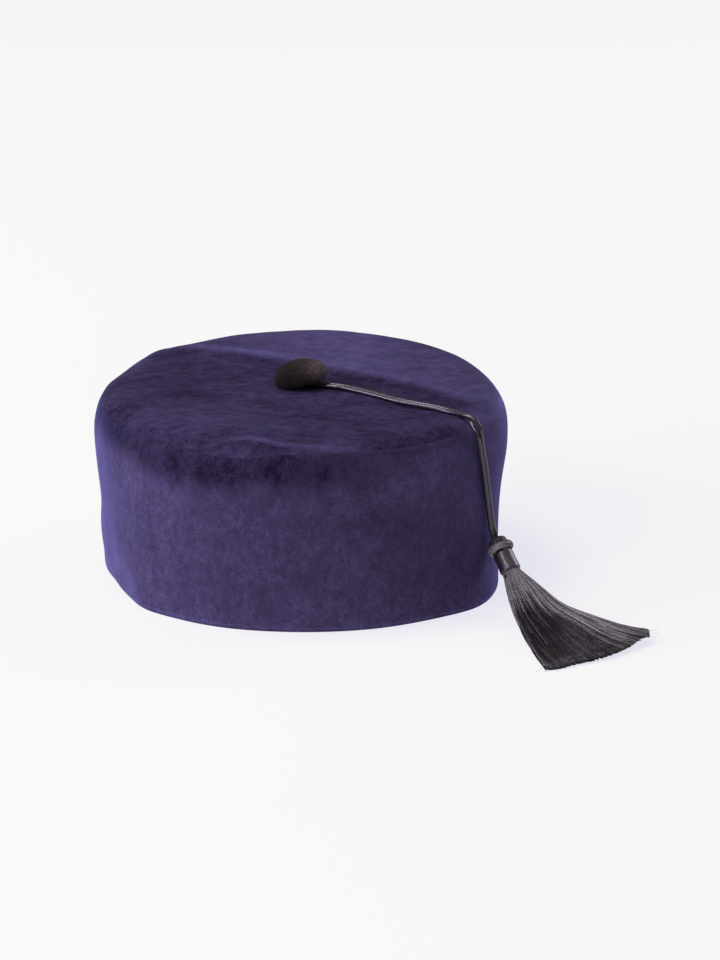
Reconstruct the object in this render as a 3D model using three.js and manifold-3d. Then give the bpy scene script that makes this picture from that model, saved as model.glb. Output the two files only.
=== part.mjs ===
// Smoking cap: a soft round velvet cap with a covered button, a doubled cord and a silky tassel.
// Millimetres, +Z up. The origin is the middle of the hem, on the surface that the cap stands on.
// The front of the cap faces -Y, and the tassel hangs at its right front and lies on the surface.
import * as THREE from "three";
import { mergeVertices } from "three/addons/utils/BufferGeometryUtils.js";
import Module from "manifold-3d";

const wasm = await Module();
wasm.setup();

// Driving sizes of the cloth
const WALL = 2.2;
const HEM_CHAMFER = 0.5;
const BULGE_HEIGHT = 67;
const SEAM_RADIUS = 93.2;
const SEAM_HEIGHT = 82.3;
const CROWN_HEIGHT = 87.5;
const CROWN_RIM = 1.2;
const CROWN_EDGE_POWER = 10;
const GAP = 0.3;
const FACETS_AROUND = 64;

// Mean section of the outside of the band, from the hem up to the seam
const BAND_ROWS = [
  { height: 0, radius: 95 - HEM_CHAMFER },
  { height: 0.8, radius: 95 },
  { height: 10, radius: 95.1 },
  { height: 25, radius: 95.3 },
  { height: 40, radius: 95.8 },
  { height: 54, radius: 96.7 },
  { height: BULGE_HEIGHT, radius: 97.2 },
  { height: 74, radius: 96.8 },
  { height: 79, radius: 95.6 },
  { height: 81.5, radius: 94.2 },
  { height: SEAM_HEIGHT, radius: SEAM_RADIUS },
];

// Rings of the crown, as shares of the seam's radius
const CROWN_RINGS = [0, 0.16, 0.32, 0.47, 0.61, 0.73, 0.83, 0.91, 0.965, 1];

// How the soft cloth leaves the mean section, every 30 degrees from +X towards +Y:
// hem and shoulder move out from the axis, and the seam rises
const PLAN = [
  { at: 0, hem: -4.6, shoulder: 0.4, seam: 0.5 },
  { at: 30, hem: -3.6, shoulder: 0.2, seam: 2.4 },
  { at: 60, hem: 0.0, shoulder: 0.3, seam: 3.6 },
  { at: 90, hem: 1.0, shoulder: 0.0, seam: 3.2 },
  { at: 120, hem: 2.5, shoulder: -0.2, seam: 2.6 },
  { at: 150, hem: 4.6, shoulder: -0.8, seam: 1.6 },
  { at: 180, hem: -2.4, shoulder: -1.0, seam: 0.0 },
  { at: 210, hem: -2.4, shoulder: -0.6, seam: 0.5 },
  { at: 240, hem: 2.2, shoulder: 0.0, seam: 0.9 },
  { at: 270, hem: 2.4, shoulder: 0.0, seam: 0.3 },
  { at: 300, hem: 5.2, shoulder: 0.0, seam: -0.5 },
  { at: 330, hem: 7.0, shoulder: 0.0, seam: -0.8 },
];

// Soft corners where the hem stands out, in degrees and millimetres
const HEM_CORNERS = [
  { at: 223, out: 2.6, spread: 9 },
  { at: 322, out: 2.0, spread: 9 },
];

// The long fold of the crown: in front of this arc the cloth has sunk
const FOLD = { x: -134, y: -229, radius: 297, drop: 2.5, roll: 5, reach: 40 };
const FOLD_FADES = { from: 74, to: 92 };
const SEAM_LIFT_FADES = { from: 20, to: 88 };

// Covered button, tipped up by the cord under its right side
const BUTTON_PLACE = new THREE.Vector3(1.1, 2, 88.8);
const BUTTON_TILT = THREE.MathUtils.degToRad(-11);
const BUTTON_FACETS = 28;
const BUTTON_ROWS = [
  { height: -1.5, radius: 0 },
  { height: -1.5, radius: 2.5 },
  { height: 0, radius: 2.5 },
  { height: 0, radius: 10.8 },
  { height: 0.9, radius: 12.2 },
  { height: 2.6, radius: 12.6 },
  { height: 4.8, radius: 12.1 },
  { height: 7, radius: 10.4 },
  { height: 8.8, radius: 7.4 },
  { height: 9.9, radius: 3.9 },
  { height: 10.2, radius: 0 },
];

// Doubled cord: the middle line of the pair, the bearing of the first strand from it, the roll of the pair
// about it and how far that roll leans out from upright, all three in degrees. The strands cross once,
// where they go over the edge of the crown.
const CORD_DIAMETER = 2;
const CORD_HALF_SPACING = 1.22;
const CORD_SIDES = 8;
const CORD_STEPS = 50;
const CORD_ROUTE = [
  { x: 4.6, y: 1.6, z: 87.7, bearing: 66, roll: 0, lean: 0 },
  { x: 8.5, y: 0.6, z: 87.7, bearing: 66, roll: 0, lean: 0 },
  { x: 13, y: -0.6, z: 87.6, bearing: 66, roll: 0, lean: 0 },
  { x: 20, y: -3.2, z: 87.6, bearing: 62, roll: 0, lean: 0 },
  { x: 28, y: -8.6, z: 87.5, bearing: 57, roll: 0, lean: 0 },
  { x: 36, y: -15, z: 87.4, bearing: 54, roll: 0, lean: 0 },
  { x: 42, y: -20.2, z: 87.3, bearing: 54, roll: 0, lean: 0 },
  { x: 47, y: -24.1, z: 87.2, bearing: 56, roll: 0, lean: 0 },
  { x: 52.4, y: -27.5, z: 87, bearing: 59, roll: 0, lean: 0 },
  { x: 58, y: -30.4, z: 86.8, bearing: 60, roll: 0, lean: 0 },
  { x: 63.6, y: -33.1, z: 86.5, bearing: 59, roll: 0, lean: 0 },
  { x: 68.6, y: -36.4, z: 86.3, bearing: 56, roll: 0, lean: 0 },
  { x: 72.4, y: -40.2, z: 86.4, bearing: 55, roll: -8, lean: 8 },
  { x: 75.4, y: -44.2, z: 86.5, bearing: 55, roll: -32, lean: 16 },
  { x: 77.9, y: -47.6, z: 86.3, bearing: 56, roll: -64, lean: 26 },
  { x: 80.2, y: -50.3, z: 85.1, bearing: 57, roll: -100, lean: 40 },
  { x: 82, y: -52.2, z: 82.5, bearing: 58, roll: -138, lean: 56 },
  { x: 83, y: -53, z: 79, bearing: 58, roll: -168, lean: 72 },
  { x: 83.6, y: -52.6, z: 75.4, bearing: 58, roll: -180, lean: 80 },
  { x: 84.2, y: -51.8, z: 71, bearing: 58, roll: -180, lean: 90 },
  { x: 85.2, y: -51, z: 65, bearing: 58, roll: -180, lean: 90 },
  { x: 86.2, y: -50.5, z: 57.5, bearing: 58, roll: -180, lean: 90 },
  { x: 87.1, y: -50.2, z: 50, bearing: 58, roll: -180, lean: 90 },
  { x: 88, y: -50, z: 43, bearing: 58, roll: -180, lean: 90 },
  { x: 88.8, y: -50, z: 37, bearing: 58, roll: -180, lean: 90 },
  { x: 89.5, y: -50.2, z: 32.6, bearing: 56, roll: -180, lean: 90 },
  { x: 90.6, y: -51.1, z: 29, bearing: 52, roll: -180, lean: 90 },
  { x: 92.4, y: -54, z: 25.3, bearing: 46, roll: -180, lean: 90 },
  { x: 94.6, y: -57.4, z: 20.9, bearing: 40, roll: -180, lean: 90 },
  { x: 96.8, y: -60.8, z: 16.5, bearing: 34, roll: -180, lean: 90 },
  { x: 98.8, y: -64.4, z: 12.6, bearing: 30, roll: -180, lean: 90 },
  { x: 101, y: -69.8, z: 9.4, bearing: 26, roll: -180, lean: 90 },
  { x: 103.4, y: -76.8, z: 7.4, bearing: 22, roll: -180, lean: 90 },
  { x: 106, y: -85, z: 6.2, bearing: 20, roll: -180, lean: 90 },
  { x: 108.6, y: -93, z: 5.6, bearing: 20, roll: -180, lean: 90 },
];

// Tassel: its top, the way its axis points and the parts along it, each a distance below the top
const TASSEL_TOP = new THREE.Vector3(90.6, -51.1, 29);
const TASSEL_WAY = new THREE.Vector3(0.364, -0.571, -0.736).normalize();
const TASSEL_FACETS = 20;
const CORE_RADIUS = 4;
const CORE_ROWS = [
  { below: 22, radius: 4.2 },
  { below: 18.4, radius: 4.7 },
  { below: 17.4, radius: CORE_RADIUS },
  { below: 3.3, radius: CORE_RADIUS },
  { below: 3, radius: 4.5 },
  { below: 1.8, radius: 4.5 },
  { below: 0.6, radius: 3.9 },
  { below: 0, radius: 2.9 },
];
const CHANNEL_RADIUS = 2.5;
const CHANNEL_SIDES = 12;
const CHANNEL_STEPS = 16;
const CHANNEL_FIRST = 25;
const COLLAR = { below: 5.2, outer: 6.2, height: 3.4, points: 10 };
const NECK_ROWS = [
  { below: 17, radius: 4.7 },
  { below: 16.2, radius: 5.1 },
  { below: 12, radius: 4.9 },
  { below: 8.2, radius: 5.2 },
  { below: 7.3, radius: 4.8 },
];

// Skirt of the tassel: the two side edges of its top in five rows from the neck to the cut ends, the hump of
// the top between them, the height of its underside at the left and how much higher that is at the right,
// and the half width of one lock
const SKIRT_ROWS = [
  { left: [95, -61.4, 17.6], right: [99.8, -60.4, 19], hump: 1, rest: 11, raised: 0, wide: 1.7 },
  { left: [98.8, -76, 6.8], right: [110.6, -77.4, 14.2], hump: 4, rest: 1.5, raised: 5.6, wide: 2 },
  { left: [103.4, -102, 3.8], right: [121, -95.6, 11.2], hump: 3, rest: 0.6, raised: 4.6, wide: 2.2 },
  { left: [108, -124, 2.9], right: [137.4, -107, 8.2], hump: 1.4, rest: 0.4, raised: 3.4, wide: 2.6 },
  { left: [113.4, -143, 1.9], right: [157.6, -108.6, 4.8], hump: 0, rest: 0.3, raised: 2.6, wide: 2.8 },
];
const SKIRT_ROUNDING = new THREE.Vector3(1.9, -3.6, 0);
const LOCKS = 9;
const LOCK_SIDES = 8;
const LOCK_STEPS = 8;
const LEAST_LOCK_HEIGHT = 1.6;

// Looks of the pieces
const velvet = new THREE.MeshStandardMaterial({ color: 0x352c50, roughness: 0.95, metalness: 0 });
const buttonCloth = new THREE.MeshStandardMaterial({ color: 0x282122, roughness: 0.9, metalness: 0 });
const satinCord = new THREE.MeshStandardMaterial({ color: 0x26212a, roughness: 0.45, metalness: 0 });
const silk = new THREE.MeshStandardMaterial({ color: 0x2a2527, roughness: 0.5, metalness: 0 });

const UP = new THREE.Vector3(0, 0, 1);
const FULL_TURN = 2 * Math.PI;
const MERGE_DISTANCE = 1e-4;

// The plan table as a closed smooth curve, read by a share of the full turn
const planCurve = new THREE.CatmullRomCurve3(
  PLAN.map((row) => new THREE.Vector3(row.hem, row.shoulder, row.seam)),
  true,
  "catmullrom",
);

function cornerPush(degrees) {
  let push = 0;
  for (const corner of HEM_CORNERS) {
    const away = THREE.MathUtils.euclideanModulo(degrees - corner.at + 180, 360) - 180;
    push += corner.out * Math.exp(-((away / corner.spread) ** 2));
  }
  return push;
}

// Height of the crown's fold at a point of the plan
function foldDrop(x, y) {
  const inside = FOLD.radius - Math.hypot(x - FOLD.x, y - FOLD.y);
  const sunk = THREE.MathUtils.smoothstep(inside, -FOLD.roll, FOLD.roll);
  return -FOLD.drop * sunk * Math.exp(-Math.max(inside, 0) / FOLD.reach);
}

// Moves a point of the mean form to where the soft cloth really lies
function settle(point, folded) {
  const radius = Math.hypot(point.x, point.y);
  const turn = THREE.MathUtils.euclideanModulo(Math.atan2(point.y, point.x) / FULL_TURN, 1);
  const plan = planCurve.getPoint(turn);
  const low = Math.max(0, 1 - point.z / BULGE_HEIGHT);
  const spread = Math.min(1, radius / SEAM_RADIUS);
  const push = (plan.x + cornerPush(turn * 360)) * low + plan.y * (1 - low) * spread;
  const lift = plan.z * Math.min(1, point.z / SEAM_HEIGHT);
  const fade = 1 - THREE.MathUtils.smoothstep(radius, FOLD_FADES.from, FOLD_FADES.to);
  const drop = folded ? foldDrop(point.x, point.y) * fade : 0;
  const scale = radius > 0 ? (radius + push) / radius : 1;
  const lifted = lift * THREE.MathUtils.smoothstep(radius, SEAM_LIFT_FADES.from, SEAM_LIFT_FADES.to);
  return point.set(point.x * scale, point.y * scale, point.z + lifted + drop);
}

function moveVertices(geometry, move) {
  const places = geometry.getAttribute("position");
  const point = new THREE.Vector3();
  for (let i = 0; i < places.count; i += 1) {
    move(point.fromBufferAttribute(places, i));
    places.setXYZ(i, point.x, point.y, point.z);
  }
  geometry.computeVertexNormals();
  return geometry;
}

// A turned form about +Z through points of radius and height, outside upwards
function turned(rows, facets) {
  const profile = rows.map((row) => new THREE.Vector2(row.radius, row.height));
  return new THREE.LatheGeometry(profile, facets).rotateX(Math.PI / 2);
}

function crownTop(radius) {
  const rim = SEAM_HEIGHT + GAP + CROWN_RIM;
  return CROWN_HEIGHT - (CROWN_HEIGHT - rim) * (radius / SEAM_RADIUS) ** CROWN_EDGE_POWER;
}

function crownGeometry() {
  const radii = CROWN_RINGS.map((share) => share * SEAM_RADIUS);
  const lowest = SEAM_HEIGHT + GAP;
  const under = radii.map((radius) => ({ radius, height: Math.max(crownTop(radius) - WALL, lowest) }));
  const top = radii.map((radius) => ({ radius, height: crownTop(radius) })).reverse();
  return moveVertices(turned([...under, ...top], FACETS_AROUND), (point) => settle(point, true));
}

function bandGeometry() {
  const outside = BAND_ROWS;
  const hemInside = { height: 0, radius: BAND_ROWS[1].radius - WALL };
  const inside = BAND_ROWS.slice(2).map((row) => ({ height: row.height, radius: row.radius - WALL }));
  const rows = [...outside, ...inside.reverse(), hemInside, outside[0]];
  return moveVertices(turned(rows, FACETS_AROUND), (point) => settle(point, false));
}

// The two strands lie either side of the middle line of the route
function strandPoints(sign) {
  return CORD_ROUTE.map((row) => {
    const bearing = THREE.MathUtils.degToRad(row.bearing);
    const roll = THREE.MathUtils.degToRad(row.roll);
    const lean = THREE.MathUtils.degToRad(row.lean);
    const out = new THREE.Vector3(row.x, row.y, 0).setLength(Math.sin(lean));
    const aside = new THREE.Vector3(Math.cos(bearing), Math.sin(bearing), 0);
    return new THREE.Vector3(row.x, row.y, row.z)
      .addScaledVector(aside, sign * CORD_HALF_SPACING * Math.cos(roll))
      .addScaledVector(out.setZ(Math.cos(lean)), sign * CORD_HALF_SPACING * Math.sin(roll));
  });
}

function tube(points, radius, sides, steps) {
  const section = new THREE.Shape();
  for (let i = 0; i < sides; i += 1) {
    const angle = (i * FULL_TURN) / sides;
    const corner = new THREE.Vector2(radius * Math.cos(angle), radius * Math.sin(angle));
    if (i === 0) section.moveTo(corner.x, corner.y);
    else section.lineTo(corner.x, corner.y);
  }
  const extrudePath = new THREE.CatmullRomCurve3(points);
  return new THREE.ExtrudeGeometry(section, { steps, extrudePath, bevelEnabled: false });
}

function solidOf(geometry) {
  const bare = new THREE.BufferGeometry();
  bare.setAttribute("position", geometry.getAttribute("position"));
  bare.setIndex(geometry.index);
  const merged = mergeVertices(bare, MERGE_DISTANCE);
  const vertProperties = merged.getAttribute("position").array;
  const triVerts = new Uint32Array(merged.index.array);
  return new wasm.Manifold(new wasm.Mesh({ numProp: 3, vertProperties, triVerts }));
}

function geometryOf(solid) {
  const made = solid.getMesh();
  const geometry = new THREE.BufferGeometry();
  geometry.setAttribute("position", new THREE.BufferAttribute(made.vertProperties, 3));
  geometry.setIndex(new THREE.BufferAttribute(made.triVerts, 1));
  geometry.computeVertexNormals();
  return geometry;
}

// Rows given as distances below the tassel's top become heights on its axis
function belowTop(rows) {
  return rows.map((row) => ({ radius: row.radius, height: -row.below }));
}

function coreGeometry() {
  const rows = belowTop(CORE_ROWS);
  const first = { radius: 0, height: rows[0].height };
  const last = { radius: 0, height: rows[rows.length - 1].height };
  return turned([first, ...rows, last], TASSEL_FACETS);
}

function collarGeometry() {
  const inner = CORE_RADIUS + GAP;
  const halfWide = (COLLAR.outer - inner) / 2;
  const rows = [];
  for (let i = 0; i <= COLLAR.points; i += 1) {
    const angle = (i * FULL_TURN) / COLLAR.points;
    const radius = inner + halfWide + halfWide * Math.cos(angle);
    rows.push({ radius, height: -COLLAR.below + (COLLAR.height / 2) * Math.sin(angle) });
  }
  return turned(rows, TASSEL_FACETS);
}

function neckGeometry() {
  const outside = belowTop(NECK_ROWS);
  const bottom = { radius: CORE_RADIUS + GAP, height: outside[0].height };
  const top = { radius: CORE_RADIUS + GAP, height: outside[outside.length - 1].height };
  return turned([bottom, ...outside, top, bottom], TASSEL_FACETS);
}

// One lock of the fan, from the left edge, 0, to the right edge, 1: its middle line, and its half height
// as a second curve that is read the same way
function lockCurves(across) {
  const arch = Math.sin(Math.PI * across);
  const last = SKIRT_ROWS.length - 1;
  const middles = [];
  const halves = [];
  SKIRT_ROWS.forEach((row, i) => {
    const point = new THREE.Vector3(...row.left).lerp(new THREE.Vector3(...row.right), across);
    point.addScaledVector(SKIRT_ROUNDING, arch * (i / last) ** 2);
    const top = point.z + row.hump * arch;
    const bottom = row.rest + row.raised * across ** 2;
    const half = Math.max(top - bottom, LEAST_LOCK_HEIGHT) / 2;
    middles.push(point.setZ(top - half));
    halves.push(new THREE.Vector3(row.wide, half, 0));
  });
  return { middle: new THREE.CatmullRomCurve3(middles), half: new THREE.CatmullRomCurve3(halves) };
}

// A rounded strip bent along the middle line of a lock
function lockGeometry({ middle, half }) {
  const straight = new THREE.CylinderGeometry(1, 1, 1, LOCK_SIDES, LOCK_STEPS);
  return moveVertices(straight, (point) => {
    const share = THREE.MathUtils.clamp(point.y + 0.5, 0, 1);
    const way = middle.getTangent(share);
    const aside = new THREE.Vector3().crossVectors(way, UP).normalize();
    const above = new THREE.Vector3().crossVectors(aside, way);
    const size = half.getPoint(share);
    const across = point.x * size.x;
    const over = point.z * size.y;
    point.copy(middle.getPoint(share)).addScaledVector(aside, across).addScaledVector(above, over);
  });
}

// Turns a form on the tassel's own axis into the place that it has on the cap
function toTassel() {
  const turn = new THREE.Quaternion().setFromUnitVectors(UP, TASSEL_WAY.clone().negate());
  return new THREE.Matrix4().compose(TASSEL_TOP, turn, new THREE.Vector3(1, 1, 1));
}

function skirtGeometry() {
  let bundle = solidOf(coreGeometry().applyMatrix4(toTassel()));
  for (let i = 0; i < LOCKS; i += 1) {
    bundle = bundle.add(solidOf(lockGeometry(lockCurves(i / (LOCKS - 1)))));
  }
  const inside = CORD_ROUTE.slice(CHANNEL_FIRST).map((row) => new THREE.Vector3(row.x, row.y, row.z));
  const end = inside[inside.length - 1];
  const beyond = end.clone().sub(inside[inside.length - 2]).setLength(GAP);
  const channel = tube([...inside, end.clone().add(beyond)], CHANNEL_RADIUS, CHANNEL_SIDES, CHANNEL_STEPS);
  return geometryOf(bundle.subtract(solidOf(channel)));
}

function piece(name, geometry, material) {
  const mesh = new THREE.Mesh(geometry, material);
  mesh.name = name;
  return mesh;
}

const cap = new THREE.Group();
cap.add(piece("side_band", bandGeometry(), velvet));
cap.add(piece("crown", crownGeometry(), velvet));

const button = piece("button", turned(BUTTON_ROWS, BUTTON_FACETS), buttonCloth);
button.position.copy(BUTTON_PLACE);
button.rotation.y = BUTTON_TILT;
cap.add(button);

const strand = (sign) => tube(strandPoints(sign), CORD_DIAMETER / 2, CORD_SIDES, CORD_STEPS);
cap.add(piece("cord_strand_1", strand(1), satinCord));
cap.add(piece("cord_strand_2", strand(-1), satinCord));

const tasselHead = new THREE.Group();
tasselHead.applyMatrix4(toTassel());
tasselHead.add(piece("tassel_collar", collarGeometry(), silk));
tasselHead.add(piece("tassel_neck", neckGeometry(), silk));
cap.add(tasselHead);
cap.add(piece("tassel_skirt", skirtGeometry(), silk));

export default cap;
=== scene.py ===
import math
from types import SimpleNamespace as Values

import bpy
import numpy as np
from mathutils import Matrix, Vector


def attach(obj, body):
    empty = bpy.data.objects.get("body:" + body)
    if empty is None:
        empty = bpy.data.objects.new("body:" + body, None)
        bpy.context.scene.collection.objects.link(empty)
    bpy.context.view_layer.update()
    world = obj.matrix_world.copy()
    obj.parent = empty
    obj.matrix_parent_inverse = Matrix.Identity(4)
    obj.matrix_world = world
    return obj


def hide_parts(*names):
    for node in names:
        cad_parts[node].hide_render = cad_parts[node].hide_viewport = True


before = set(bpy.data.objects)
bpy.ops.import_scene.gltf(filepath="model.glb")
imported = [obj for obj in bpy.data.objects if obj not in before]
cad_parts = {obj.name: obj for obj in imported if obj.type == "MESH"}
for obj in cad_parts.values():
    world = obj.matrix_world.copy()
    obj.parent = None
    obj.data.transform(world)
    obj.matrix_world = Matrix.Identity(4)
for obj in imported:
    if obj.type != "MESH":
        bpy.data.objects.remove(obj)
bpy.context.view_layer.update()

BODY = "root"
FULL_TURN = 2 * math.pi
UP = np.array([0.0, 0.0, 1.0])
CURVE_STEPS = 900

# Camera: the middle of the picture, its distance and how far it looks down
VIEW_TARGET = Vector((0.0283, 0, 0.0407))
VIEW_DISTANCE = 2.0
VIEW_DOWN = math.radians(18.2)
VIEW_LENS = 159
VIEW_END = 50

# Cloth of the cap, as in the solids
WALL = 0.0022
HEM_RADIUS = 0.095
HEM_CHAMFER = 0.0005
BULGE_HEIGHT = 0.067
SEAM_RADIUS = 0.0932
SEAM_HEIGHT = 0.0823
CROWN_HEIGHT = 0.0875
SEAM_LAP = 0.00005
CROWN_EDGE_POWER = 16
BAND_ROWS = [
    # height, radius
    (0.0, HEM_RADIUS - HEM_CHAMFER),
    (0.0008, HEM_RADIUS),
    (0.010, 0.0951),
    (0.025, 0.0953),
    (0.040, 0.0958),
    (0.054, 0.0967),
    (BULGE_HEIGHT, 0.0972),
    (0.074, 0.0968),
    (0.079, 0.0956),
    (0.0815, 0.0942),
    (SEAM_HEIGHT, SEAM_RADIUS),
]
PLAN = np.array([
    # hem out, shoulder out, seam up, every 30 degrees from +X towards +Y
    (-0.0046, 0.0004, 0.0005),
    (-0.0036, 0.0002, 0.0024),
    (0.0000, 0.0003, 0.0036),
    (0.0010, 0.0000, 0.0032),
    (0.0025, -0.0002, 0.0026),
    (0.0046, -0.0008, 0.0016),
    (-0.0024, -0.0010, 0.0000),
    (-0.0024, -0.0006, 0.0005),
    (0.0022, 0.0000, 0.0009),
    (0.0024, 0.0000, 0.0003),
    (0.0052, 0.0000, -0.0005),
    (0.0070, 0.0000, -0.0008),
])
HEM_CORNERS = [
    # degrees, spread in degrees, out
    (223, 9, 0.0026),
    (322, 9, 0.0020),
    (198, 8, -0.0013),
]
FOLD = Values(x=-0.134, y=-0.229, radius=0.297, drop=0.0025, roll=0.005, reach=0.040)
FOLD_FADES = (0.092, 0.074)
SEAM_LIFT_RISE = (0.020, 0.088)

# Fine form of the cloth. Humps are rows of degrees, spread in degrees and size.
# A profile is a level, steps of start, end and size, and bumps of place, half width and size.
AROUND = 480
HEM_RINGS, WALL_RINGS, SHOULDER_RINGS, INNER_RINGS = 22, 56, 34, 44
BAND_SPLITS = (0.006, 0.070)
FLAT_RINGS, EDGE_RINGS, UNDER_RINGS = 58, 34, 40
MIDDLE_RADIUS, FLAT_RADIUS, EDGE_START = 0.001, 0.080, 0.0805
UNDER_INSET = 0.0006
UNDER_GAP = 0.0001
EDGE_RING_SHARE = 0.08
# On the right the cloth has sunk, and its bulge is lower
SLUMP_HUMPS = [(8, 22, 0.0009)]
SLUMP_HEIGHTS = (0, [], [(0.058, 0.008, 1), (0.082, 0.008, -1)])
SLUMP_RISE = (0.070, 0.090)
SEAM_WAVES = [
    # degrees, spread in degrees, up: the seam sags at the front left and is uneven all round
    (-110, 13, -0.0030),
    (-80, 20, 0.0015),
    (14, 13, -0.0010),
    (56, 12, -0.0008),
    (124, 9, -0.0010),
    (140, 6, 0.0012),
    (158, 8, -0.0012),
    (177, 9, -0.0010),
]
SEAM_WAVE_FOOT = 0.066
SEAM_WAVE_RISE = (0.076, 0.092)
GROOVE_HALF = 0.0007
GROOVE_LEAST = 0.000032
GROOVE_HUMPS = [(-108, 24, 0.000128)]
HEM_LINE = (0, [], [(0.0030, 0.0005, 0.00015)])
PUCKERS = [
    # degrees, half width in degrees, depth: gathers under the front of the seam
    (-124.5, 2.0, 0.0011),
    (-109.6, 2.6, 0.0004),
    (-95.8, 2.2, 0.0009),
    (-81.6, 2.4, 0.0009),
    (-66.0, 3.0, 0.0005),
    (-137.0, 2.6, 0.0006),
]
PUCKER_HEIGHTS = (0, [], [(0.0765, 0.0048, 1)])
CROWN_PUCKERS = (0, [], [(0.0890, 0.004, 0.6)])
SMALL_PUCKERS = Values(seed=11, count=34, astray=4, half=(1.6, 3.2), deep=(0.0001, 0.00035))
CREASES = [
    # degrees and height at both ends, half width, depth: soft creases of the band, and one swelling
    (-105.5, 0.055, -96.0, 0.051, 0.0030, 0.0005),
    (-66.0, 0.050, -42.0, 0.038, 0.0040, 0.0006),
    (-150.0, 0.030, -132.0, 0.020, 0.0050, 0.0006),
    (60.0, 0.046, 84.0, 0.036, 0.0050, 0.0006),
    (128.0, 0.030, 150.0, 0.040, 0.0050, 0.0007),
    (-6.0, 0.050, 16.0, 0.040, 0.0045, 0.0005),
    (170.0, 0.022, 190.0, 0.018, 0.0100, -0.0010),
]
CREASE_ARCH = (0.12, 0.76)
BAND_FREE = [(0.002, 0.012), (0.081, 0.070)]
BAND_WAVE = 0.00028
CROWN_WAVE = 0.00022
CROWN_WAVE_FADES = (0.0930, 0.086)
FRONT_RIDGE = [
    # plan of a low ridge where the front of the crown turns over
    (-0.0400, -0.0804),
    (-0.0340, -0.0796),
    (-0.0240, -0.0795),
    (-0.0165, -0.0824),
    (-0.0085, -0.0862),
    (0.0040, -0.0895),
    (0.0145, -0.0890),
    (0.0225, -0.0892),
]
SIDE_CREASE = [(0.072, -0.0157), (0.080, -0.0050), (0.088, 0.005)]
# Half width, height or painted highlight, and the start and span of the arch of its strength
FRONT_RIDGE_SIZE = (0.0028, 0.0005, 0.1, 0.8)
FRONT_RIDGE_HIGHLIGHT = (0.0015, 0.30, 0.02, 0.90)
SIDE_CREASE_SIZE = (0.0022, 0.0003, 0.1, 0.8)
SIDE_CREASE_HIGHLIGHT = (0.0018, 0.09, 0.5, 0)
LINE_STEPS = 60

# Lie of the pile together with painted sheen, highlights and shade, from 0, dark, to 1, light
SEAM_NAP = 0.42
SEAM_PILE_AND_SHEEN_HUMPS = [
    # degrees, spread in degrees, lighter
    (-160, 28, -0.09),
    (-117, 13, -0.05),
    # painted sheen: the right of the seam is painted lighter
    (2, 28, 0.25),
]
# The dark band along the seam, where the pile lies down, is partly painted shade
BRUSHED_SHADED_ARC = (-130, (-85, -45), (78, 30))
BRUSHED_SHADED_DARKER = 0.23
BRUSHED_SHADED_FOOT = (0.064, [(0, -40, 0.0055)])
BRUSHED_SHADED_FOOT_WAVES = [(7, 0.4, 0.0016), (17, 0, 0.0012)]
BRUSHED_SHADED_FOOT_GATHERS = 2.2
BRUSHED_SHADED_SOFT = (-0.002, 0.010)
WALL_NAP = 0.50
# Painted shade: the wall is painted darker on its right side
WALL_SHADE_HUMPS = [(-45, 22, -0.04)]
UNDER_RIM_HUMPS = [(-58, 14, 0.13)]
UNDER_RIM_RISE = (0.052, 0.064)
RIM_ARC = (-55, (-22, -10), (24, 15))
RIM_BAND = (0, [(0.0770, 0.0815, -0.24)])
RIM_EDGE = 0.7
RIM_LINE = (0, [], [(0.0905, 0.0040, 0.04)])
# Painted highlight on the hem's turned edge and painted shadow along its foot; the band is also a little
# lighter low down
HEM_HIGHLIGHT_AND_SHADOW = (0, [(0.022, 0.004, 0.06), (0.0012, 0.0003, -0.10)], [(0.0017, 0.0007, 0.11)])
# Painted shade in the gathers under the seam
PUCKER_SHADE = (0, [], [(0.0745, 0.005, 115)])
CROWN_NAP = 0.125
# Painted light at the fold: a highlight along its crest, shade in the valley before it and sheen behind it
CREST_HIGHLIGHT = (0.10, [(0.005, -0.020, 0.12)])
CREST_LINE = (0, [], [(-0.0034, 0.0028, 1)])
VALLEY_SHADE = (0.027, [(-0.030, 0.020, 0.063)])
VALLEY_RISE = (0, 0.003)
VALLEY_REACH = 0.010
BEHIND_SHEEN = (0.235, [(-0.005, -0.035, -0.09)], [(0.012, 0.030, 0.09)])
BEHIND_FADE = (1, [(0.035, 0.085, -0.30)])
BEHIND_RISE = (0.001, -0.005)
CROWN_EDGE_NAP = (0.8, [(0.0895, 0.0932, 0.2)])
CROWN_TURNS = (0.080, 0.0925)
CROWN_PATCHES = [
    # plan of places on the crown where the pile lies dark or light, half widths, and how much lighter
    (-0.045, -0.052, 0.0240, 0.0150, 0.11),
    (0.012, -0.050, 0.0300, 0.0100, -0.05),
    (-0.006, -0.073, 0.0240, 0.0070, 0.04),
    (-0.060, -0.010, 0.0180, 0.0120, -0.05),
    (-0.030, -0.0850, 0.0160, 0.0034, 0.05),
]


# Curves and meshes

def ease(value, start, end):
    """0 at start, 1 at end and smooth between them, where start may be the higher."""
    share = np.clip((value - start) / (end - start), 0.0, 1.0)
    return share * share * (3 - 2 * share)


def window(value, rise, fall):
    return ease(value, *rise) * ease(value, *fall)


def bell(value, half):
    return np.exp(-((value / half) ** 2))


def profile(value, level, steps, bumps=()):
    """A level that changes in steps, with soft bumps on it."""
    rises = sum(size * ease(value, start, end) for start, end, size in steps)
    return level + rises + sum(size * bell(value - at, half) for at, half, size in bumps)


def arch(along, start, span):
    """Strength along a line from 0 to 1, which falls off towards both its ends."""
    return np.sin(np.pi * (start + span * along))


def angle_between(degrees, at):
    return (degrees - at + 180) % 360 - 180


def humps(degrees, rows):
    """Sum of soft humps round the cap, from rows of degrees, spread in degrees and size."""
    return sum(size * bell(angle_between(degrees, at), spread) for at, spread, size in rows)


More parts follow.
